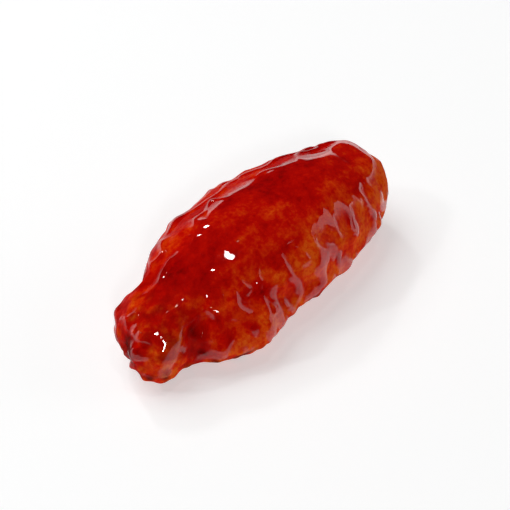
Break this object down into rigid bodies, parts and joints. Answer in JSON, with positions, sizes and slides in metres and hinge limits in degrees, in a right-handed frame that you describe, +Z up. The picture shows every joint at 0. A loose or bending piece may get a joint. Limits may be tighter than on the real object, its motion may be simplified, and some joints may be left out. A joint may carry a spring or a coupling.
{
  "type": "glazed chicken wing",
  "caption": "Cooked chicken wing, the flat middle joint, skin side up under a thick glossy red-brown sauce.",
  "frame": {"origin": "below the middle of the wing's box, on the surface that it lies on", "axes": "+X along the wing from the knuckles to the rounded far end, +Y to the thick back edge, +Z up"},
  "size_m": [0.0892, 0.0386, 0.0271],
  "materials": {
    "glaze": "thick glossy red-brown sauce over browned skin, deep maroon where it pools and orange where it is thin"
  },
  "bodies": {
    "root": {"wing": "glaze"}
  },
  "joints": []
}
